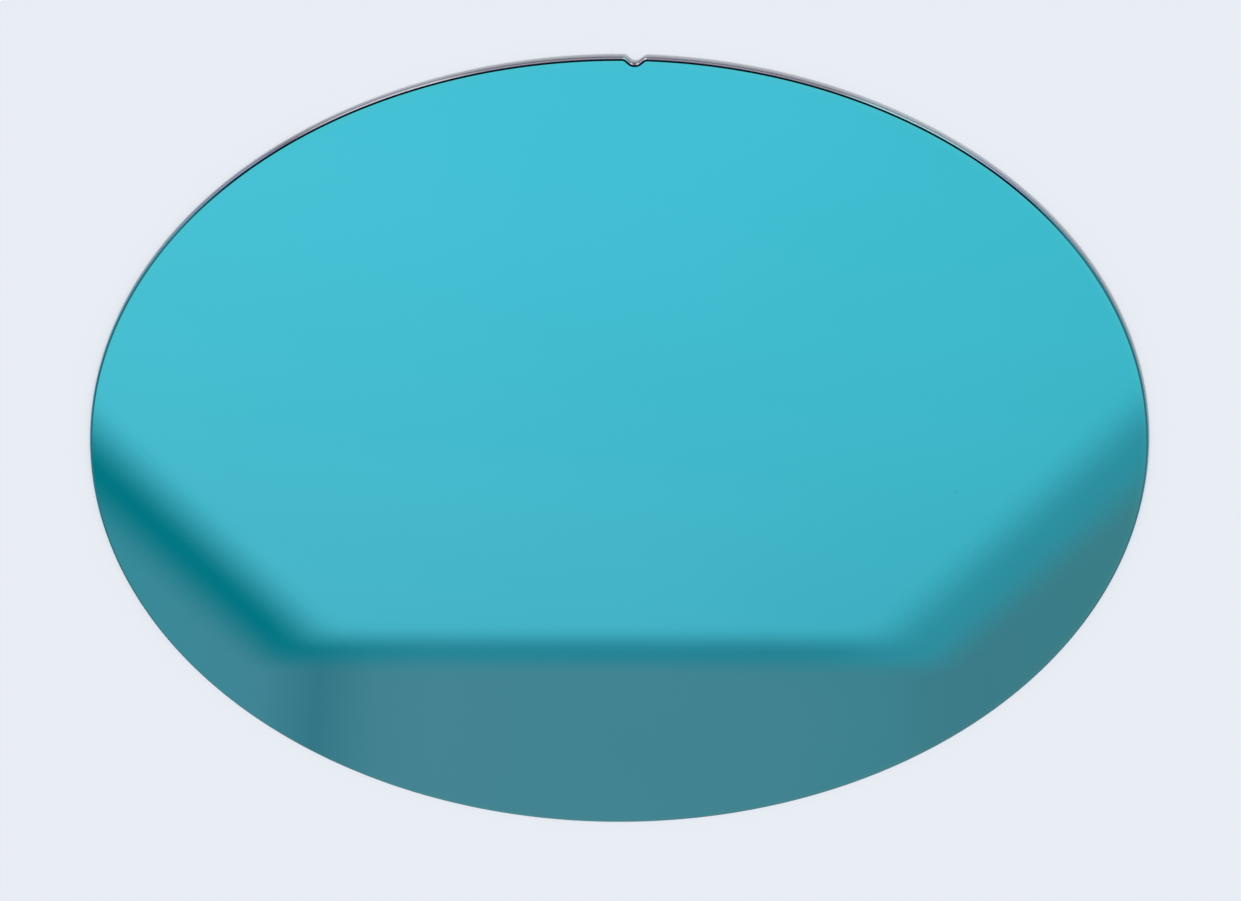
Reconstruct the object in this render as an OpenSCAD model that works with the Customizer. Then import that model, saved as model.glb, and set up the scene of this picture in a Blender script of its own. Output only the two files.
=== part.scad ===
// Silicon wafer, 200 mm, with a ground and rounded edge and an alignment notch.
// The slice lies flat on its back face. The origin is the centre of that face,
// +Z leaves the polished face, and the notch points along -Y.

/* [Slice] */
// Diameter across the rim
wafer_d = 200; // [150:1:200]
// Thickness between the polished face and the back face
wafer_t = 0.725; // [0.65:0.005:0.8]

/* [Ground edge] */
// Width of the bevel on each face, measured in from the outline
bevel_w = 0.45; // [0.4:0.01:0.55]
// Slope of the bevel against the face, in degrees
bevel_angle = 22; // [18:1:26]

/* [Notch] */
// Depth of the notch below the rim
notch_depth = 1.25; // [1.1:0.01:1.4]
// Angle between the two flanks, in degrees
notch_angle = 90; // [86:1:94]
// Radius of the round bottom of the notch
notch_bottom_r = 1.1; // [0.9:0.01:1.2]
// Radius of the shoulders, where the flanks run out into the rim
notch_shoulder_r = 0.9; // [0.7:0.01:1]

/* [Hidden] */

// Facets of a full turn of the rim, of a notch arc and of the edge's nose
rim_fn = 720;
notch_fn = 96;
nose_fn = 64;

wafer_r = wafer_d / 2;

// The edge in section is two bevels that run tangent into one round nose. The
// nose touches the outline, so bevel and thickness settle its radius.
nose_r = (wafer_t / 2 - bevel_w * tan(bevel_angle))
    / (cos(bevel_angle) - (1 - sin(bevel_angle)) * tan(bevel_angle));
// From the nose's centre to where the upper bevel joins it
nose_join = nose_r * [sin(bevel_angle), cos(bevel_angle)];

// The notch in plan is drawn along +X. Both flanks leave one apex, the bottom
// arc touches the two flanks, and each shoulder arc touches a flank and the rim.
flank_lean = notch_angle / 2;
bottom_centre = [wafer_r - notch_depth + notch_bottom_r, 0];
flank_apex = bottom_centre.x - notch_bottom_r / sin(flank_lean);
// The shoulder's centre lies on a circle inside the rim and on a line beside
// the flank, which passes the slice's centre at this distance
shoulder_orbit = wafer_r - notch_shoulder_r;
shoulder_offset = flank_apex * sin(flank_lean) - notch_shoulder_r;
shoulder_bearing = flank_lean - asin(shoulder_offset / shoulder_orbit);
shoulder_centre = shoulder_orbit * [cos(shoulder_bearing), sin(shoulder_bearing)];

// The cuts stand clear of both faces, reach from a flank past the middle of
// the notch, and run along a flank out past the rim
cut_clear = 0.5;
cut_reach = notch_depth + notch_bottom_r;
cut_run = 2 * notch_depth;
// The shoulder's wheel stands this far off, so that its cut crosses the flank
// and the rim at a slight angle and its faces never merge with theirs
wheel_off = 0.002;
// The way that the finished notch points
notch_bearing = -90;

// Section of the slice's edge, with the outline at x = 0 and the slice at x < 0
module edge_section(depth) {
    polygon([
        [-depth, 0],
        [-bevel_w, 0],
        [nose_join.x - nose_r, wafer_t / 2 - nose_join.y],
        [nose_join.x - nose_r, wafer_t / 2 + nose_join.y],
        [-bevel_w, wafer_t],
        [-depth, wafer_t],
    ]);
    translate([-nose_r, wafer_t / 2])
        circle(r = nose_r, $fn = nose_fn);
}

// Section of what the grinding wheel takes away, from x = 0 out to the outline
// at x = reach and past it over the two bevels
module wheel_section(reach) {
    difference() {
        translate([0, -cut_clear])
            square([reach + bevel_w, wafer_t + 2 * cut_clear]);
        translate([reach, 0])
            mirror([1, 0])
                edge_section(2 * bevel_w);
    }
}

// The round slice before the notch is cut, with its ground rim
module disc() {
    rotate_extrude($fn = rim_fn)
        translate([wafer_r, 0])
            edge_section(wafer_r);
}

// Round bottom of the notch, where the wheel turns about its own axis
module bottom_cut() {
    translate(bottom_centre)
        rotate_extrude(angle = 180 - notch_angle, start = 90 + flank_lean, $fn = notch_fn)
            wheel_section(notch_bottom_r);
}

// Straight flank, where the wheel moves outwards
module flank_cut() {
    translate(bottom_centre)
        rotate(90 + flank_lean)
            translate([notch_bottom_r - cut_reach, 0])
                rotate([90, 0, 0])
                    linear_extrude(cut_run)
                        wheel_section(cut_reach);
}

// Shoulder, where the wheel travels round the corner
module shoulder_cut() {
    translate(shoulder_centre)
        rotate_extrude(
            angle = 90 - flank_lean + shoulder_bearing,
            start = flank_lean - 90,
            $fn = notch_fn
        )
            translate([notch_shoulder_r + wheel_off + cut_reach, 0])
                mirror([1, 0])
                    wheel_section(cut_reach);
}

// The notch, ground to the same edge as the rim
module notch_cut() {
    bottom_cut();
    for (side = [0, 1])
        mirror([0, side, 0]) {
            flank_cut();
            shoulder_cut();
        }
}

// Sub-part: the slice of silicon, one piece
module wafer() {
    color("mediumturquoise")
        difference() {
            disc();
            rotate(notch_bearing)
                notch_cut();
        }
}

wafer();
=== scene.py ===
"""A bare silicon wafer of the 200 mm size, lying on its back face.

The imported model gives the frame: the origin is the centre of the back face, +Z
leaves the polished face and the notch points along -Y. One mesh stands for the
slice. Its ground edge is one section swept round the outline, and the two faces
close the sweep. The slice's lengths are in millimetres until they reach a node
or a mesh, and those of the floor and the camera are in metres.
"""

import logging
import math
from abc import ABC, abstractmethod
from dataclasses import dataclass, field
from enum import Enum
from typing import Any

import bpy
from mathutils import Matrix, Vector


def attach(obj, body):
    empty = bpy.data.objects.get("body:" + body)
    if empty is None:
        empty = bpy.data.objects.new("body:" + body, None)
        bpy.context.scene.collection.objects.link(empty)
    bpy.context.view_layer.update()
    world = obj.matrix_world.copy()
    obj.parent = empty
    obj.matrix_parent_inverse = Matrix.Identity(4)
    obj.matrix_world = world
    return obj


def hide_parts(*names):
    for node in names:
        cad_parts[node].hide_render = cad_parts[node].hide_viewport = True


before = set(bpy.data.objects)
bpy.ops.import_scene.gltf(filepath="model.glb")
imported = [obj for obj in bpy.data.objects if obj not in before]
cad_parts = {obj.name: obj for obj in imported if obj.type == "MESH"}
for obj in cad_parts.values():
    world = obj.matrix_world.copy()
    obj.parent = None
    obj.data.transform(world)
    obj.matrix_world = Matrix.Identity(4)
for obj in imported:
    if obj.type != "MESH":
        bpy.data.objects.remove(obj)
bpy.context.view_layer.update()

LOG = logging.getLogger("silicon_wafer")
MM = 0.001
PICTURE_PX = (1241, 901)
CAD_NODE = "wafer"
CAD_BODY = "root"

Colour = tuple[float, float, float, float]
Stops = tuple[tuple[float, str], ...]
Socket = bpy.types.NodeSocket


def linear(code: str) -> Colour:
    """Turn an sRGB hex colour into linear light.

    Args:
        code: The colour, as "#RRGGBB".

    Returns:
        Linear red, green and blue, with an alpha of 1.
    """
    shares = (int(code[at:at + 2], 16) / 255 for at in (1, 3, 5))
    red, green, blue = (
        share / 12.92 if share <= 0.04045 else ((share + 0.055) / 1.055) ** 2.4
        for share in shares
    )
    return red, green, blue, 1.0


def add_node(
    tree: bpy.types.NodeTree,
    kind: str,
    inputs: dict[str | int, Any] | None = None,
    stops: Stops = (),
    **settings: Any,
) -> bpy.types.NodeOutputs:
    """Add a node with its settings, and fill or link its inputs.

    Args:
        tree: The tree that gets the node.
        kind: Blender's name for the kind of node.
        inputs: By the input's name or index, its value, an output socket to
            link, or a list of sockets for an input that takes several.
        stops: The places of a colour ramp and their sRGB hex colours, in order.
        **settings: The node's own options, such as its operation.

    Returns:
        The new node's output sockets.
    """
    node = tree.nodes.new(kind)
    for name, value in settings.items():
        setattr(node, name, value)
    for key, value in (inputs or {}).items():
        if isinstance(value, (Socket, list)):
            for source in value if isinstance(value, list) else [value]:
                tree.links.new(source, node.inputs[key])
        else:
            node.inputs[key].default_value = value
    if stops:
        elements = node.color_ramp.elements
        elements.remove(elements[1])
        for at, (place, code) in enumerate(stops):
            element = elements.new(place) if at else elements[0]
            element.position, element.color = place, linear(code)
    return node.outputs


class Region(Enum):
    """The surfaces of the slice, each with its own finish."""

    EDGE = "Ground edge"
    FACE = "Polished face"
    BACK = "Etched back"


@dataclass(frozen=True)
class Arc:
    """A run of points on a circle, evenly spaced from its start round its sweep."""

    name: str
    radius: float
    centre: tuple[float, float]
    start: float
    sweep: float
    points: int

    def inputs(self) -> dict[str, Any]:
        """Name the arc's inputs to the tree.

        Returns:
            Their values by name, in metres and radians.
        """
        return {
            f"{self.name} radius": self.radius * MM,
            f"{self.name} centre": (self.centre[0] * MM, self.centre[1] * MM, 0.0),
            f"{self.name} start": self.start,
            f"{self.name} sweep": self.sweep,
            f"{self.name} points": self.points,
        }


@dataclass(frozen=True)
class EdgeSection:
    """The ground edge in section: two bevels that run into one round nose."""

    thickness: float = 0.725
    bevel_width: float = 0.45
    bevel_slope: float = math.radians(22)
    nose_points: int = 25

    @property
    def nose_radius(self) -> float:
        """Work out the radius of the nose, which touches the outline and both bevels.

        Returns:
            The radius.
        """
        slope = self.bevel_slope
        height = self.thickness / 2 - self.bevel_width * math.tan(slope)
        return height / (math.cos(slope) - (1 - math.sin(slope)) * math.tan(slope))

    @property
    def nose(self) -> Arc:
        """Lay out the nose from bevel to bevel.

        Returns:
            The arc, out along X and down along Y from the upper crease.
        """
        half_sweep = math.pi / 2 - self.bevel_slope
        centre = self.bevel_width - self.nose_radius, self.thickness / 2
        return Arc("Nose", self.nose_radius, centre, -half_sweep, 2 * half_sweep, self.nose_points)


@dataclass(frozen=True)
class NotchedOutline:
    """The outline in plan: a round rim with one notch of two straight flanks."""

    radius: float = 100.0
    notch_depth: float = 1.25
    notch_angle: float = math.radians(90)
    bottom_radius: float = 1.1
    shoulder_radius: float = 0.9
    notch_bearing: float = math.radians(-90)
    rim_points: int = 1080
    arc_points: int = 25

    @property
    def bottom_centre(self) -> float:
        """Distance from the slice's centre to that of the notch's round bottom."""
        return self.radius - self.notch_depth + self.bottom_radius

    @property
    def notch_mouth(self) -> tuple[float, float]:
        """The middle of the notch's mouth, on the rim's own circle."""
        return self._spot(self.radius, 0.0)

    @property
    def shoulder_bearing(self) -> float:
        """Work out where the shoulders are, which touch the flanks and the rim.

        Returns:
            The bearing, off the notch's axis, of the centre of a shoulder's arc.
        """
        lean = math.sin(self.notch_angle / 2)
        apex = self.bottom_centre - self.bottom_radius / lean
        offset = apex * lean - self.shoulder_radius
        return self.notch_angle / 2 - math.asin(offset / (self.radius - self.shoulder_radius))

    def _spot(self, distance: float, off_axis: float) -> tuple[float, float]:
        """Place a spot by its distance from the slice's centre.

        Args:
            distance: How far it is from the centre.
            off_axis: Its bearing off the notch's axis.

        Returns:
            The spot's X and Y.
        """
        bearing = self.notch_bearing + off_axis
        return distance * math.cos(bearing), distance * math.sin(bearing)

    def arcs(self, inset: float) -> list[Arc]:
        """Lay out the arcs of the outline, or of a line that runs inside it.

        The arcs keep their centres, so one inside the outline is smaller on the
        rim and shoulders and larger at the bottom. Each flank is the straight
        step from one arc to the next.

        Args:
            inset: How far inside the outline the arcs run.

        Returns:
            The arcs in order, anticlockwise from the notch's first shoulder.
        """
        axis, lean, quarter = self.notch_bearing, self.notch_angle / 2, math.pi / 2
        shoulder, orbit = self.shoulder_bearing, self.radius - self.shoulder_radius
        turn = shoulder + quarter - lean
        # The rim leaves its two ends to the shoulders, which hold the same points
        rim_gap = shoulder + math.tau / self.rim_points
        return [
            Arc(
                "First shoulder", self.shoulder_radius - inset, self._spot(orbit, shoulder),
                axis + lean - quarter, turn, self.arc_points,
            ),
            Arc(
                "Rim", self.radius - inset, (0.0, 0.0),
                axis + rim_gap, math.tau - 2 * rim_gap, self.rim_points,
            ),
            Arc(
                "Last shoulder", self.shoulder_radius - inset, self._spot(orbit, -shoulder),
                axis - shoulder, turn, self.arc_points,
            ),
            Arc(
                "Notch bottom", self.bottom_radius + inset, self._spot(self.bottom_centre, 0.0),
                axis + 3 * quarter - lean, 2 * lean - math.pi, self.arc_points,
            ),
        ]


class SweepTree:
    """Geometry Nodes that sweep the edge's section round the crease of the faces.

    The crease is where each face ends and its bevel starts. It is threaded
    through arcs of points, the section is swept round it, and two filled copies
    of it close the solid.
    """

    # The kind of socket that takes a value of each type
    KINDS = {
        float: "NodeSocketFloat",
        int: "NodeSocketInt",
        tuple: "NodeSocketVector",
        bpy.types.Material: "NodeSocketMaterial",
    }
    # The attribute that orders the points of a spline, and its step from one run
    # of points to the next, which is above any run's own count
    ORDER = "order"
    ORDER_STEP = 10000.0
    # An edge that turns by more than this stays crisp: the two creases do, and
    # the steps of the arcs don't
    CRISP_ANGLE = math.radians(14)
    # A face whose normal rises or falls more than this is one of the two flat ones
    FLAT_NORMAL = 0.999

    def __init__(self, values: dict[str, Any], crease: list[Arc], nose: Arc) -> None:
        """Make the tree with its named inputs, and fill it.

        Args:
            values: The value of each input by its name, which gives its kind.
            crease: The arcs of the crease, anticlockwise from above.
            nose: The arc of the nose.
        """
        self.values = values
        self.tree = bpy.data.node_groups.new("Ground edge sweep", "GeometryNodeTree")
        make = self.tree.interface.new_socket
        self.identifiers = {
            name: make(name=name, in_out="INPUT", socket_type=self.KINDS[type(value)]).identifier
            for name, value in values.items()
        }
        make(name="Geometry", in_out="OUTPUT", socket_type="NodeSocketGeometry")
        self.given = add_node(self.tree, "NodeGroupInput")
        solid = self._solid(self._crease(crease), self._section(nose))
        add_node(self.tree, "NodeGroupOutput", {"Geometry": self._dressed(solid)})

    def _numbered(self, points: Socket, place: int) -> Socket:
        """Number the points of a run, after those of the runs before it.

        Args:
            points: The run's points, in their own order.
            place: The run's place among the others.

        Returns:
            The socket of the points, which now carry their order.
        """
        index = add_node(self.tree, "GeometryNodeInputIndex")[0]
        order = add_node(
            self.tree, "ShaderNodeMath", {0: index, 1: place * self.ORDER_STEP}, operation="ADD"
        )[0]
        return add_node(
            self.tree, "GeometryNodeStoreNamedAttribute",
            {"Geometry": points, "Name": self.ORDER, "Value": order},
        )[0]

    def _arc_run(self, arc: Arc, place: int) -> Socket:
        """Draw an arc as a run of numbered points.

        Args:
            arc: The arc, whose inputs the tree holds under its name.
            place: The run's place among the others.

        Returns:
            The socket of the run's points.
        """
        curve = add_node(
            self.tree, "GeometryNodeCurveArc",
            {
                "Resolution": self.given[f"{arc.name} points"],
                "Radius": self.given[f"{arc.name} radius"],
                "Start Angle": self.given[f"{arc.name} start"],
                "Sweep Angle": self.given[f"{arc.name} sweep"],
            },
            mode="RADIUS",
        )[0]
        curve = add_node(
            self.tree, "GeometryNodeTransform",
            {"Geometry": curve, "Translation": self.given[f"{arc.name} centre"]},
        )[0]
        points = add_node(
            self.tree, "GeometryNodeCurveToPoints", {"Curve": curve}, mode="EVALUATED"
        )[0]
        return self._numbered(points, place)

    def _threaded(self, runs: list[Socket]) -> Socket:
        """Thread one spline through runs of numbered points.

        Args:
            runs: The points of each run.

        Returns:
            The socket of the spline.
        """
        points = add_node(self.tree, "GeometryNodeJoinGeometry", {0: runs})[0]
        order = add_node(
            self.tree, "GeometryNodeInputNamedAttribute", {"Name": self.ORDER},
            data_type="FLOAT",
        )[0]
        spline = add_node(
            self.tree, "GeometryNodePointsToCurves", {"Points": points, "Weight": order}
        )[0]
        return add_node(
            self.tree, "GeometryNodeRemoveAttribute", {"Geometry": spline, "Name": self.ORDER}
        )[0]

    def _crease(self, arcs: list[Arc]) -> Socket:
        """Draw the closed crease, level at height nought.

        Args:
            arcs: Its arcs, anticlockwise from above.

        Returns:
            The socket of the closed spline.
        """
        spline = self._threaded([self._arc_run(arc, place) for place, arc in enumerate(arcs)])
        closed = add_node(
            self.tree, "GeometryNodeSetSplineCyclic", {"Geometry": spline, "Cyclic": True}
        )[0]
        return add_node(
            self.tree, "GeometryNodeSetCurveNormal", {"Curve": closed}, mode="Z_UP"
        )[0]

    def _section(self, nose: Arc) -> Socket:
        """Draw the open section, from the upper crease over the nose to the lower.

        Args:
            nose: The arc of the nose.

        Returns:
            The socket of the open spline.
        """
        first, last = (
            add_node(
                self.tree, "GeometryNodePoints", {"Count": 1, "Position": self.given[name]}
            )[0]
            for name in ("Upper crease", "Lower crease")
        )
        return self._threaded([
            self._numbered(first, 0), self._arc_run(nose, 1), self._numbered(last, 2)
        ])

    def _solid(self, crease: Socket, section: Socket) -> Socket:
        """Sweep the section round the crease, and close the band with two faces.

        Args:
            crease: The closed spline.
            section: The open spline that is swept.

        Returns:
            The socket of the closed mesh.
        """
        lift = self.given["Lift"]
        raised = add_node(
            self.tree, "GeometryNodeTransform", {"Geometry": crease, "Translation": lift}
        )[0]
        band = add_node(
            self.tree, "GeometryNodeCurveToMesh", {"Curve": raised, "Profile Curve": section}
        )[0]
        filled = add_node(
            self.tree, "GeometryNodeFillCurve", {"Curve": crease}, mode="NGONS"
        )[0]
        face = add_node(
            self.tree, "GeometryNodeTransform", {"Geometry": filled, "Translation": lift}
        )[0]
        back = add_node(self.tree, "GeometryNodeFlipFaces", {"Mesh": filled})[0]
        joined = add_node(self.tree, "GeometryNodeJoinGeometry", {0: [band, face, back]})[0]
        welded = add_node(
            self.tree, "GeometryNodeMergeByDistance",
            {"Geometry": joined, "Distance": self.given["Weld distance"]},
        )[0]
        turn = add_node(self.tree, "GeometryNodeInputMeshEdgeAngle")["Unsigned Angle"]
        crisp = add_node(
            self.tree, "ShaderNodeMath", {0: turn, 1: self.CRISP_ANGLE}, operation="GREATER_THAN"
        )[0]
        return add_node(
            self.tree, "GeometryNodeSetShadeSmooth",
            {"Geometry": welded, "Selection": crisp, "Shade Smooth": False}, domain="EDGE",
        )[0]

    def _dressed(self, solid: Socket) -> Socket:
        """Give each surface its material, told by which way its faces look.

        Args:
            solid: The closed mesh.

        Returns:
            The socket of the finished mesh.
        """
        mesh = add_node(self.tree, "GeometryNodeRealizeInstances", {"Geometry": solid})[0]
        normal = add_node(self.tree, "GeometryNodeInputNormal")[0]
        up = add_node(self.tree, "ShaderNodeSeparateXYZ", {0: normal})["Z"]
        on_face = add_node(
            self.tree, "ShaderNodeMath", {0: up, 1: self.FLAT_NORMAL}, operation="GREATER_THAN"
        )[0]
        on_back = add_node(
            self.tree, "ShaderNodeMath", {0: up, 1: -self.FLAT_NORMAL}, operation="LESS_THAN"
        )[0]
        # The edge's material goes on everything, and then the faces get their own
        for region, chosen in (
            (Region.EDGE, True), (Region.FACE, on_face), (Region.BACK, on_back)
        ):
            mesh = add_node(
                self.tree, "GeometryNodeSetMaterial",
                {"Geometry": mesh, "Selection": chosen, "Material": self.given[region.value]},
            )[0]
        return mesh

    def run(self, name: str) -> bpy.types.Mesh:
        """Run the tree on its values, and keep what it makes.

        Args:
            name: The mesh's name.

        Returns:
            The solid, as a plain mesh.
        """
        holder = bpy.data.objects.new("holder", bpy.data.meshes.new("holder"))
        bpy.context.scene.collection.objects.link(holder)
        modifier = holder.modifiers.new("sweep", "NODES")
        modifier.node_group = self.tree
        for socket, value in self.values.items():
            modifier[self.identifiers[socket]] = value
        graph = bpy.context.evaluated_depsgraph_get()
        mesh = bpy.data.meshes.new_from_object(holder.evaluated_get(graph))
        bpy.data.objects.remove(holder)
        # The holder's empty material slot comes along, and nothing uses it
        for at in reversed([n for n, made in enumerate(mesh.materials) if made is None]):
            mesh.materials.pop(index=at)
        mesh.name = name
        return mesh


@dataclass(frozen=True)
class Finish(ABC):
    """A finish of the slice, laid out in millimetres from the centre of its back."""

    name: str
    roughness: float

    def material(self) -> bpy.types.Material:
        """Make the material.

        Returns:
            The material, whose patterns follow the object's own coordinates.
        """
        made = bpy.data.materials.new(self.name)
        made.use_nodes = True
        tree = made.node_tree
        tree.nodes.clear()
        own = add_node(tree, "ShaderNodeTexCoord")["Object"]
        place = add_node(
            tree, "ShaderNodeMapping", {"Vector": own, "Scale": (1 / MM,) * 3}
        )[0]
        shader = add_node(
            tree, "ShaderNodeBsdfPrincipled",
            {"Metallic": 1.0, "Roughness": self.roughness, **self._inputs(tree, place)},
        )[0]
        add_node(tree, "ShaderNodeOutputMaterial", {"Surface": shader})
        return made

    @abstractmethod
    def _inputs(self, tree: bpy.types.NodeTree, place: Socket) -> dict[str, Any]:
        """Lay out the finish's pattern.

        Args:
            tree: The material's tree.
            place: The place on the slice, in millimetres.

        Returns:
            The shader's inputs that the pattern sets.
        """


@dataclass(frozen=True)
class PolishedFilm(Finish):
    """Silicon polished to a mirror, under a clear film that shows one colour.

    The film is grown or deposited on the finished surface and is a fraction of
    a micrometre thick. Light that comes back from its two sides adds up at one
    colour, so the eye sees a flawless mirror in teal, which drifts a little
    where the film is thicker or thinner.
    """

    name: str = "Polished silicon under interference film"
    roughness: float = 0.02
    outline: NotchedOutline = field(default_factory=NotchedOutline)
    # The film from its thinner side to its thicker one, and at a grazing view
    film: Stops = ((0.0, "#4AC5D8"), (0.5, "#43BFD4"), (1.0, "#36B8C8"))
    grazing: str = "#C2F1FF"
    # Its thickness slopes across the slice, and wanders a little over this length
    drift_length: float = 90.0
    drift_detail: float = 1.0
    drift_share: float = 0.35
    # The film runs out thinner and greener over the last strip to the edge
    ring: str = "#4AC2C8"
    ring_width: float = 1.8
    ring_share: float = 0.7
    # Dust on the face, one grain in some of the cells of this width
    speck: str = "#2E9EA0"
    speck_cell: float = 14.0
    speck_radius: float = 0.22
    speck_share: float = 0.1

    def _inputs(self, tree: bpy.types.NodeTree, place: Socket) -> dict[str, Any]:
        """Let the film's colour drift across the face, and strew the dust.

        Args:
            tree: The material's tree.
            place: The place on the slice, in millimetres.

        Returns:
            The shader's colour, and its tint at a grazing view.
        """
        colour = self._dusted(tree, place, self._film(tree, place))
        return {"Base Color": colour, "Specular Tint": linear(self.grazing)}

    def _film(self, tree: bpy.types.NodeTree, place: Socket) -> Socket:
        """Colour the film by its thickness.

        Args:
            tree: The material's tree.
            place: The place on the slice, in millimetres.

        Returns:
            The colour's socket.
        """
        radius = self.outline.radius
        across = add_node(tree, "ShaderNodeSeparateXYZ", {0: place})["X"]
        slope = add_node(
            tree, "ShaderNodeMapRange",
            {"Value": across, "From Min": radius, "From Max": -radius},
        )[0]
        wander = add_node(
            tree, "ShaderNodeTexNoise",
            {"Vector": place, "Scale": 1 / self.drift_length, "Detail": self.drift_detail},
        )["Fac"]
        thickness = add_node(
            tree, "ShaderNodeMix", {"Factor": self.drift_share, "A": slope, "B": wander},
            data_type="FLOAT",
        )["Result"]
        film = add_node(tree, "ShaderNodeValToRGB", {"Fac": thickness}, self.film)[0]
        from_centre = add_node(
            tree, "ShaderNodeVectorMath", {0: place}, operation="LENGTH"
        )["Value"]
        near_edge = add_node(
            tree, "ShaderNodeMapRange",
            {
                "Value": from_centre, "To Max": self.ring_share,
                "From Min": radius - self.ring_width, "From Max": radius,
            },
            interpolation_type="SMOOTHSTEP",
        )[0]
        return add_node(
            tree, "ShaderNodeMix", {"Factor": near_edge, "A": film, "B": linear(self.ring)},
            data_type="RGBA",
        )["Result"]

    def _dusted(self, tree: bpy.types.NodeTree, place: Socket, film: Socket) -> Socket:
        """Strew a few specks over the film.

        Args:
            tree: The material's tree.
            place: The place on the slice, in millimetres.
            film: The film's colour.

        Returns:
            The colour's socket.
        """
        grain = add_node(
            tree, "ShaderNodeTexVoronoi", {"Vector": place, "Scale": 1 / self.speck_cell},
            voronoi_dimensions="2D",
        )
        near = add_node(
            tree, "ShaderNodeMapRange",
            {
                "Value": grain["Distance"],
                "From Min": self.speck_radius / self.speck_cell, "From Max": 0.0,
            },
            interpolation_type="SMOOTHSTEP",
        )[0]
        chosen = add_node(
            tree, "ShaderNodeMath", {0: grain["Color"], 1: self.speck_share},
            operation="LESS_THAN",
        )[0]
        speck = add_node(tree, "ShaderNodeMath", {0: near, 1: chosen}, operation="MULTIPLY")[0]
        return add_node(
            tree, "ShaderNodeMix", {"Factor": speck, "A": film, "B": linear(self.speck)},
            data_type="RGBA",
        )["Result"]


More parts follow.
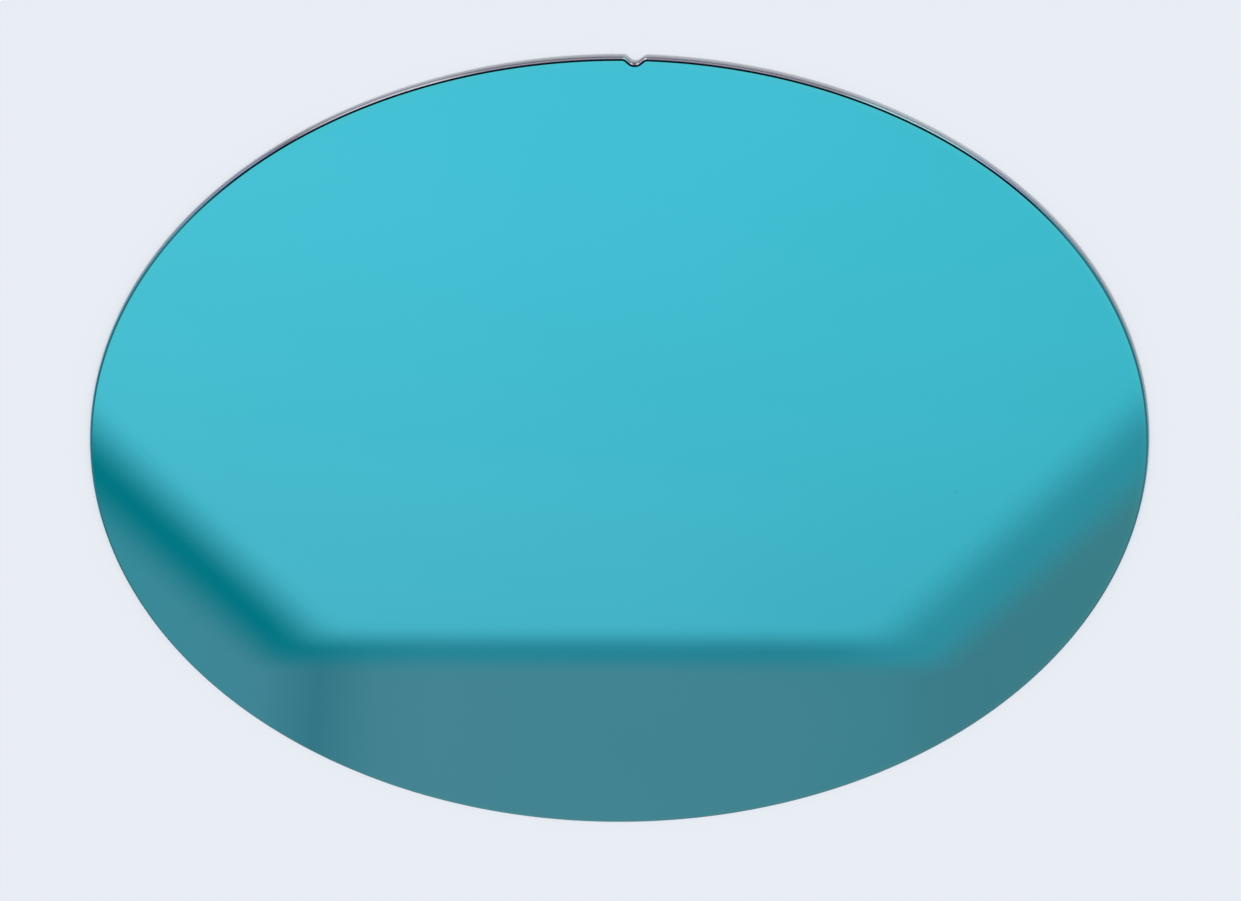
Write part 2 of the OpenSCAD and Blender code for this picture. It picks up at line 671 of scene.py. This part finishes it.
@dataclass(frozen=True)
class GroundEdge(Finish):
    """The edge as a diamond wheel leaves it, etched clean and under the film.

    The two bevels and the nose's shoulders keep the wheel's fine pits. Their dark
    line beside the mirror is painted shade, a dark reflection painted into their
    colour. The middle of the nose carries a painted highlight, a thin line of
    light whose colour runs through the film's range round the slice.
    """

    name: str = "Ground silicon edge under film"
    roughness: float = 0.22
    section: EdgeSection = field(default_factory=EdgeSection)
    outline: NotchedOutline = field(default_factory=NotchedOutline)
    # How far the painted highlight on the nose's middle reaches above and below mid height
    highlight_reach: float = 0.222
    # Colours by bearing, anticlockwise from nought at -X, with the notch at a quarter.
    # The nose's are the film's with painted highlights: bright arcs either side of the
    # notch, a dimmer grey round it
    nose: Stops = (
        (0.000, "#5A9EAD"), (0.090, "#5F98A9"), (0.120, "#7CAABE"), (0.138, "#9DB0D6"),
        (0.158, "#B2E6EC"), (0.183, "#B6EAEE"), (0.195, "#A19EAE"), (0.292, "#A19EAE"),
        (0.304, "#E8E5F0"), (0.339, "#CCCAD8"), (0.351, "#807C98"), (0.364, "#9DAACC"),
        (0.382, "#8AA4C2"), (0.405, "#74A6B6"), (0.550, "#5A9EAD"), (1.000, "#5A9EAD"),
    )
    # The bevels' colours: teal at the sides, and nearly black over about a quarter of the turn
    # centred on the notch, which is painted shade
    bevel: Stops = (
        (0.105, "#2A7486"), (0.128, "#041A24"), (0.372, "#041A24"), (0.395, "#2A7486"),
    )
    # Colours across the notch, with a painted glint at each end of its arcs and a
    # dimmer painted shade across its bottom. They reach this far from the middle of its mouth
    notch_reach: float = 2.3
    notch: Stops = (
        (0.05, "#A19EAE"), (0.11, "#FFFFFF"), (0.18, "#A9A6B8"), (0.32, "#B4B2C2"),
        (0.39, "#FFFFFF"), (0.46, "#7F7C8A"), (0.54, "#7F7C8A"), (0.61, "#FFFFFF"),
        (0.68, "#8FB0C0"), (0.82, "#8CC4D2"), (0.89, "#B8F6FF"), (0.96, "#A19EAE"),
    )
    # The wheel's lines run along the edge. They are some micrometres apart, too
    # fine to show, so they are drawn at this pitch
    line_pitch: float = 0.05
    line_length: float = 6.0
    line_detail: float = 1.0
    line_depth: float = 0.004
    line_strength: float = 0.6
    # The noise that draws the lines keeps between these, and varies the roughness
    line_range: tuple[float, float] = (0.3, 0.7)
    rough_spread: float = 0.05

    def _inputs(self, tree: bpy.types.NodeTree, place: Socket) -> dict[str, Any]:
        """Paint the bevels' shade and the nose's highlight, and draw the wheel's lines.

        Args:
            tree: The material's tree.
            place: The place on the slice, in millimetres.

        Returns:
            The shader's colour, roughness and bumped normal.
        """
        stretched = add_node(
            tree, "ShaderNodeMapping",
            {"Vector": place, "Scale": (1 / self.line_length,) * 2 + (1 / self.line_pitch,)},
        )[0]
        lines = add_node(
            tree, "ShaderNodeTexNoise",
            {"Vector": stretched, "Scale": 1.0, "Detail": self.line_detail},
        )["Fac"]
        bump = add_node(
            tree, "ShaderNodeBump",
            {"Height": lines, "Strength": self.line_strength, "Distance": self.line_depth * MM},
        )[0]
        low, high = self.line_range
        rough = add_node(
            tree, "ShaderNodeMapRange",
            {
                "Value": lines, "From Min": low, "From Max": high,
                "To Min": self.roughness - self.rough_spread,
                "To Max": self.roughness + self.rough_spread,
            },
        )[0]
        return {"Base Color": self._colour(tree, place), "Roughness": rough, "Normal": bump}

    def _colour(self, tree: bpy.types.NodeTree, place: Socket) -> Socket:
        """Paint the edge's shade, highlight and glints by its height, its bearing and its place in
        the notch.

        Args:
            tree: The material's tree.
            place: The place on the slice, in millimetres.

        Returns:
            The colour's socket.
        """
        mid_height = self.section.thickness / 2
        mouth = (*self.outline.notch_mouth, mid_height)
        across, _, height = add_node(tree, "ShaderNodeSeparateXYZ", {0: place})
        bearing = add_node(
            tree, "ShaderNodeTexGradient", {"Vector": place}, gradient_type="RADIAL"
        )["Fac"]
        nose = add_node(tree, "ShaderNodeValToRGB", {"Fac": bearing}, self.nose)[0]
        bevel = add_node(tree, "ShaderNodeValToRGB", {"Fac": bearing}, self.bevel)[0]
        over_notch = add_node(
            tree, "ShaderNodeMapRange",
            {"Value": across, "From Min": -self.notch_reach, "From Max": self.notch_reach},
        )[0]
        notch = add_node(tree, "ShaderNodeValToRGB", {"Fac": over_notch}, self.notch)[0]
        from_mouth = add_node(
            tree, "ShaderNodeVectorMath", {0: place, 1: mouth}, operation="DISTANCE"
        )["Value"]
        on_notch_glints = add_node(
            tree, "ShaderNodeMath", {0: from_mouth, 1: self.notch_reach}, operation="LESS_THAN"
        )[0]
        # In the notch the nose takes the painted glints and shade instead
        nose = add_node(
            tree, "ShaderNodeMix", {"Factor": on_notch_glints, "A": nose, "B": notch}, data_type="RGBA"
        )["Result"]
        # The painted highlight goes on the nose's middle, and the bevels' colour, painted shade
        # near the notch, goes above and below it
        on_highlight_line = add_node(
            tree, "ShaderNodeMath", {0: height, 1: mid_height, 2: self.highlight_reach},
            operation="COMPARE",
        )[0]
        return add_node(
            tree, "ShaderNodeMix", {"Factor": on_highlight_line, "A": bevel, "B": nose}, data_type="RGBA"
        )["Result"]


@dataclass(frozen=True)
class EtchedBack(Finish):
    """The back, etched in acid and left unpolished, under the same film.

    The acid leaves shallow dishes some hundredths of a millimetre wide, so the
    eye sees a soft satin in a quieter teal, with no image in it.
    """

    name: str = "Acid-etched silicon under film"
    roughness: float = 0.38
    film: Stops = ((0.3, "#43909F"), (0.7, "#55A0B0"))
    # The dishes are too fine to show, so they are drawn this wide
    dish_width: float = 0.8
    dish_detail: float = 2.0
    dish_depth: float = 0.02
    dish_strength: float = 0.3

    def _inputs(self, tree: bpy.types.NodeTree, place: Socket) -> dict[str, Any]:
        """Dish the surface, and mottle its colour a little.

        Args:
            tree: The material's tree.
            place: The place on the slice, in millimetres.

        Returns:
            The shader's colour and bumped normal.
        """
        dishes = add_node(
            tree, "ShaderNodeTexNoise",
            {"Vector": place, "Scale": 1 / self.dish_width, "Detail": self.dish_detail},
        )["Fac"]
        bump = add_node(
            tree, "ShaderNodeBump",
            {"Height": dishes, "Strength": self.dish_strength, "Distance": self.dish_depth * MM},
        )[0]
        colour = add_node(tree, "ShaderNodeValToRGB", {"Fac": dishes}, self.film)[0]
        return {"Base Color": colour, "Normal": bump}


@dataclass
class Slice:
    """The slice itself: one solid with a polished face, a ground edge and a back."""

    section: EdgeSection = field(default_factory=EdgeSection)
    outline: NotchedOutline = field(default_factory=NotchedOutline)
    name: str = "silicon_slice"
    weld_distance: float = 0.002

    def _finishes(self) -> dict[Region, Finish]:
        """Choose the finish of each surface, laid out on the slice's own sizes.

        Returns:
            The finish of each surface.
        """
        return {
            Region.EDGE: GroundEdge(section=self.section, outline=self.outline),
            Region.FACE: PolishedFilm(outline=self.outline),
            Region.BACK: EtchedBack(),
        }

    def _sweep(self) -> SweepTree:
        """Make the tree for this section and outline, with its finishes.

        Returns:
            The tree, ready to run.
        """
        crease, nose = self.outline.arcs(self.section.bevel_width), self.section.nose
        thickness = self.section.thickness * MM
        values: dict[str, Any] = {
            "Upper crease": (0.0, 0.0, 0.0),
            "Lower crease": (0.0, thickness, 0.0),
            "Lift": (0.0, 0.0, thickness),
            "Weld distance": self.weld_distance * MM,
        }
        for arc in (*crease, nose):
            values |= arc.inputs()
        for region, finish in self._finishes().items():
            values[region.value] = finish.material()
        return SweepTree(values, crease, nose)

    def build(self) -> bpy.types.Object:
        """Build and dress the slice, and set it in the frame.

        Returns:
            The finished piece, as a plain mesh.
        """
        piece = bpy.data.objects.new(self.name, self._sweep().run(self.name))
        bpy.context.scene.collection.objects.link(piece)
        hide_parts(CAD_NODE)
        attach(piece, CAD_BODY)
        return piece


@dataclass(frozen=True)
class MirroredRoom:
    """What a mirror shows of the room: a wide light panel, pale walls and windows.

    A direction is taken by where it meets a flat ceiling at height 1, folded
    into one quarter of the room, so the panel keeps straight sides in the slice.
    Bearings run anticlockwise from nought at -X, with +Y at three quarters.
    """

    # How far the room is turned from the slice's axes, and how low the ceiling goes
    turn: float = math.radians(-1.1)
    horizon: float = 0.001
    # The panel is a hexagon, whose four leaning sides have the softer edge, and
    # a bar across it. Each is given by its corner on the ceiling
    hexagon: tuple[float, float, float] = (0.135, 1.075, 0.0)
    side_lean: float = math.radians(56)
    side_sharpness: float = 0.62
    bar: tuple[float, float, float] = (1.4, 0.84, 0.0)
    # How round the corners are, and how far the panel's edge fades each way
    rounding: float = 0.012
    softness: float = 0.010
    # The panel dims from its middle down between these sines of the elevation
    panel: str = "#FFFFFF"
    panel_foot: str = "#FFE7E9"
    panel_fade: tuple[float, float] = (0.80, 0.62)
    # The panel's dark border by bearing
    border_width: float = 0.027
    border: Stops = (
        (0.170, "#DCD6DA"), (0.210, "#A9A4A8"), (0.290, "#A9A4A8"), (0.330, "#DCD6DA"),
        (0.690, "#DCD6DA"), (0.710, "#009C9C"), (0.728, "#009C9C"), (0.736, "#9AB1B3"),
        (0.764, "#9AB1B3"), (0.772, "#C8C4C6"), (0.790, "#C8C4C6"), (0.810, "#DCD6DA"),
    )
    # The upper wall by bearing, which turns a corner below each corner of the hexagon
    upper: Stops = (
        (0.170, "#EAE4E8"), (0.210, "#CAB4B9"), (0.290, "#CAB4B9"), (0.330, "#EAE4E8"),
        (0.690, "#EAE4E8"), (0.710, "#BCBAB9"), (0.727, "#ECAFB2"), (0.731, "#BE9B9E"),
        (0.735, "#FFB1B0"), (0.769, "#FFB1B0"), (0.773, "#FFA9AA"), (0.790, "#FFAFAA"),
        (0.810, "#EAE4E8"),
    )
    # The lower wall and its tall windows by the sine of the elevation. They share
    # a dusky foot, so the slice stays apart from the floor in a low view
    foot: Stops = ((0.00, "#A6CCD6"), (0.05, "#CFE1E7"), (0.11, "#F4F2F4"))
    lower: Stops = ((0.24, "#E4DEE2"), (0.60, "#E8E1E5"))
    window: Stops = (
        (0.18, "#FFFFFF"), (0.46, "#FFFFFF"), (0.50, "#E7E0E4"), (0.60, "#E8E1E5"),
    )
    # How many windows stand round the room, the share of its bay that each fills,
    # and how far its sides fade each way
    windows: int = 16
    window_share: float = 0.44
    window_soft: float = 0.05
    # The lower wall gives way to the upper between these sines
    wall_change: tuple[float, float] = (0.54, 0.61)

    def colour(self, tree: bpy.types.NodeTree) -> Socket:
        """Paint the room on the world's directions.

        Args:
            tree: The world's tree.

        Returns:
            The socket of the room's colour.
        """
        way = add_node(tree, "ShaderNodeTexCoord")["Generated"]
        way = add_node(
            tree, "ShaderNodeVectorRotate", {"Vector": way, "Angle": self.turn},
            rotation_type="Z_AXIS",
        )[0]
        bearing = add_node(
            tree, "ShaderNodeTexGradient", {"Vector": way}, gradient_type="RADIAL"
        )["Fac"]
        rise = add_node(tree, "ShaderNodeSeparateXYZ", {0: way})["Z"]
        height = add_node(
            tree, "ShaderNodeMath", {0: rise, 1: self.horizon}, operation="MAXIMUM"
        )[0]
        ceiling = add_node(
            tree, "ShaderNodeVectorMath", {0: way, 1: height}, operation="DIVIDE"
        )[0]
        ceiling = add_node(tree, "ShaderNodeVectorMath", {0: ceiling}, operation="ABSOLUTE")[0]
        outside = self._outside(tree, ceiling)
        upper = self._upper_wall(tree, bearing, outside)
        lower = self._lower_wall(tree, bearing, rise)
        change_from, change_to = self.wall_change
        change = add_node(
            tree, "ShaderNodeMapRange",
            {"Value": rise, "From Min": change_from, "From Max": change_to},
            interpolation_type="SMOOTHSTEP",
        )[0]
        walls = add_node(
            tree, "ShaderNodeMix", {"Factor": change, "A": lower, "B": upper}, data_type="RGBA"
        )["Result"]
        fade_from, fade_to = self.panel_fade
        fade = add_node(
            tree, "ShaderNodeMapRange",
            {"Value": rise, "From Min": fade_from, "From Max": fade_to},
            interpolation_type="SMOOTHSTEP",
        )[0]
        panel = add_node(
            tree, "ShaderNodeMix",
            {"Factor": fade, "A": linear(self.panel), "B": linear(self.panel_foot)},
            data_type="RGBA",
        )["Result"]
        beyond = add_node(
            tree, "ShaderNodeMapRange",
            {"Value": outside, "From Min": -self.softness, "From Max": self.softness},
            interpolation_type="SMOOTHSTEP",
        )[0]
        return add_node(
            tree, "ShaderNodeMix", {"Factor": beyond, "A": panel, "B": walls}, data_type="RGBA"
        )["Result"]

    def _outside(self, tree: bpy.types.NodeTree, ceiling: Socket) -> Socket:
        """Measure how far outside the panel a place on the ceiling is.

        Args:
            tree: The world's tree.
            ceiling: The place on the ceiling.

        Returns:
            The socket of the distance, which is below nought on the panel.
        """
        lean = math.sin(self.side_lean), math.cos(self.side_lean), 0.0
        from_corner = add_node(
            tree, "ShaderNodeVectorMath", {0: ceiling, 1: self.hexagon}, operation="SUBTRACT"
        )[0]
        end = add_node(tree, "ShaderNodeSeparateXYZ", {0: from_corner})["Y"]
        side = add_node(
            tree, "ShaderNodeVectorMath",
            {0: from_corner, 1: tuple(self.side_sharpness * share for share in lean)},
            operation="DOT_PRODUCT",
        )["Value"]
        from_hexagon = add_node(
            tree, "ShaderNodeMath", {0: end, 1: side, 2: self.rounding}, operation="SMOOTH_MAX"
        )[0]
        from_corner = add_node(
            tree, "ShaderNodeVectorMath", {0: ceiling, 1: self.bar}, operation="SUBTRACT"
        )[0]
        end, side, _ = add_node(tree, "ShaderNodeSeparateXYZ", {0: from_corner})
        from_bar = add_node(
            tree, "ShaderNodeMath", {0: end, 1: side, 2: self.rounding}, operation="SMOOTH_MAX"
        )[0]
        return add_node(
            tree, "ShaderNodeMath", {0: from_hexagon, 1: from_bar}, operation="MINIMUM"
        )[0]

    def _upper_wall(self, tree: bpy.types.NodeTree, bearing: Socket, outside: Socket) -> Socket:
        """Paint the upper wall, with the dark border round the panel.

        Args:
            tree: The world's tree.
            bearing: The bearing, from 0 to 1.
            outside: How far outside the panel the place is.

        Returns:
            The colour's socket.
        """
        wall = add_node(tree, "ShaderNodeValToRGB", {"Fac": bearing}, self.upper)[0]
        border = add_node(tree, "ShaderNodeValToRGB", {"Fac": bearing}, self.border)[0]
        near = add_node(
            tree, "ShaderNodeMapRange",
            {"Value": outside, "From Min": self.border_width, "From Max": self.softness},
            interpolation_type="SMOOTHSTEP",
        )[0]
        return add_node(
            tree, "ShaderNodeMix", {"Factor": near, "A": wall, "B": border}, data_type="RGBA"
        )["Result"]

    def _lower_wall(self, tree: bpy.types.NodeTree, bearing: Socket, rise: Socket) -> Socket:
        """Paint the lower wall, with tall windows all round it.

        Args:
            tree: The world's tree.
            bearing: The bearing, from 0 to 1.
            rise: The sine of the elevation.

        Returns:
            The colour's socket.
        """
        wall, window = (
            add_node(tree, "ShaderNodeValToRGB", {"Fac": rise}, self.foot + stops)[0]
            for stops in (self.lower, self.window)
        )
        count = add_node(
            tree, "ShaderNodeMath", {0: bearing, 1: float(self.windows)}, operation="MULTIPLY"
        )[0]
        # A window's middle is where its bay starts, so the bays are folded in half
        half_bay = 0.5
        aside = add_node(
            tree, "ShaderNodeMath", {0: count, 1: half_bay}, operation="PINGPONG"
        )[0]
        within = add_node(
            tree, "ShaderNodeMapRange",
            {
                "Value": aside,
                "From Min": self.window_share / 2 + self.window_soft,
                "From Max": self.window_share / 2 - self.window_soft,
            },
            interpolation_type="SMOOTHSTEP",
        )[0]
        return add_node(
            tree, "ShaderNodeMix", {"Factor": within, "A": wall, "B": window}, data_type="RGBA"
        )["Result"]


@dataclass(frozen=True)
class Studio:
    """A pale floor, even light, one soft lamp, and the room that mirrors show."""

    room: MirroredRoom = field(default_factory=MirroredRoom)
    floor_colour: str = "#E9EDF4"
    floor_reach: float = 6.0
    # The dome and the lamp together light the level floor as a level of 1 would
    dome_strength: float = 0.62
    lamp_direction: tuple[float, float, float] = (0.24, 0.70, 0.67)
    lamp_spread: float = math.radians(12)

    def _paper(self) -> bpy.types.Material:
        """Make the floor's matt paper.

        Returns:
            The material.
        """
        paper = bpy.data.materials.new("Matt backdrop paper")
        paper.use_nodes = True
        tree = paper.node_tree
        tree.nodes.clear()
        shader = add_node(tree, "ShaderNodeBsdfDiffuse", {"Color": linear(self.floor_colour)})[0]
        add_node(tree, "ShaderNodeOutputMaterial", {"Surface": shader})
        return paper

    def floor(self) -> None:
        """Lay the floor, level with the back of the slice."""
        mesh = bpy.data.meshes.new("floor")
        reach = self.floor_reach
        corners = [
            (-reach, -reach, 0), (reach, -reach, 0), (reach, reach, 0), (-reach, reach, 0)
        ]
        mesh.from_pydata(corners, [], [(0, 1, 2, 3)])
        floor = bpy.data.objects.new("floor", mesh)
        bpy.context.scene.collection.objects.link(floor)
        mesh.materials.append(self._paper())

    def lamp(self) -> None:
        """Shine the soft lamp, unseen itself, that gives the floor its shadow."""
        towards = Vector(self.lamp_direction).normalized()
        light = bpy.data.lights.new("soft_lamp", "SUN")
        light.angle = self.lamp_spread
        light.energy = (1.0 - self.dome_strength) * math.pi / towards.z
        lamp = bpy.data.objects.new("soft_lamp", light)
        bpy.context.scene.collection.objects.link(lamp)
        lamp.location = towards
        lamp.rotation_euler = towards.to_track_quat("Z", "Y").to_euler()
        lamp.visible_camera = False
        lamp.visible_glossy = False

    def world(self) -> None:
        """Light the floor evenly, and give mirrors the room to show."""
        world = bpy.data.worlds.new("studio")
        bpy.context.scene.world = world
        world.use_nodes = True
        tree = world.node_tree
        tree.nodes.clear()
        path = add_node(tree, "ShaderNodeLightPath")
        plain, seen, gloss = (
            add_node(tree, "ShaderNodeBackground", {"Color": colour, "Strength": level})[0]
            for colour, level in (
                (linear("#FFFFFF"), self.dome_strength),
                (linear(self.floor_colour), 1.0),
                (self.room.colour(tree), 1.0),
            )
        )
        mirrored = add_node(
            tree, "ShaderNodeMath",
            {0: path["Is Glossy Ray"], 1: path["Is Transmission Ray"]}, operation="MAXIMUM",
        )[0]
        lit = add_node(tree, "ShaderNodeMixShader", {0: mirrored, 1: plain, 2: gloss})[0]
        lit = add_node(
            tree, "ShaderNodeMixShader", {0: path["Is Camera Ray"], 1: lit, 2: seen}
        )[0]
        add_node(tree, "ShaderNodeOutputWorld", {"Surface": lit})

    def build(self) -> None:
        """Set up the floor, the lamp, the world and the view's colours."""
        self.floor()
        self.lamp()
        self.world()
        bpy.context.scene.view_settings.view_transform = "Standard"


@dataclass(frozen=True)
class Viewpoint:
    """The camera, above the notch's side and turned so the notch is at the top."""

    # Where it stands, seen from the origin, and the spot that it looks at
    bearing: float = math.radians(1.5)
    elevation: float = math.radians(45.8)
    distance: float = 0.590
    aim: tuple[float, float, float] = (0.0, -0.0085, 0.0)
    # Its focal length in pixels of the picture, and its sensor's width
    focal_px: float = 3100.0
    sensor: float = 36.0
    clip: tuple[float, float] = (0.01, 50.0)

    def build(self) -> None:
        """Make the camera and aim it."""
        data = bpy.data.cameras.new("camera")
        data.sensor_width = self.sensor
        data.lens = self.focal_px / PICTURE_PX[0] * self.sensor
        data.clip_start, data.clip_end = self.clip
        camera = bpy.data.objects.new("camera", data)
        bpy.context.scene.collection.objects.link(camera)
        flat = self.distance * math.cos(self.elevation)
        place = Vector((
            flat * math.sin(self.bearing),
            -flat * math.cos(self.bearing),
            self.distance * math.sin(self.elevation),
        ))
        ahead = (Vector(self.aim) - place).normalized()
        towards_camera = Vector((math.sin(self.bearing), -math.cos(self.bearing), 0.0))
        right = ahead.cross(towards_camera).normalized()
        up = right.cross(ahead)
        camera.matrix_world = Matrix.Translation(place) @ Matrix(
            (right, up, -ahead)
        ).transposed().to_4x4()
        bpy.context.scene.camera = camera


def main() -> None:
    """Build the camera, the studio and the wafer, and report each."""
    logging.basicConfig(level=logging.INFO, format="%(name)s: %(message)s")
    Viewpoint().build()
    Studio().build()
    LOG.info("camera and studio are set")
    piece = Slice().build()
    mesh = piece.data
    LOG.info(
        "%s: %d vertices, %d faces, %d materials",
        piece.name, len(mesh.vertices), len(mesh.polygons), len(mesh.materials),
    )


if __name__ == "__main__":
    main()
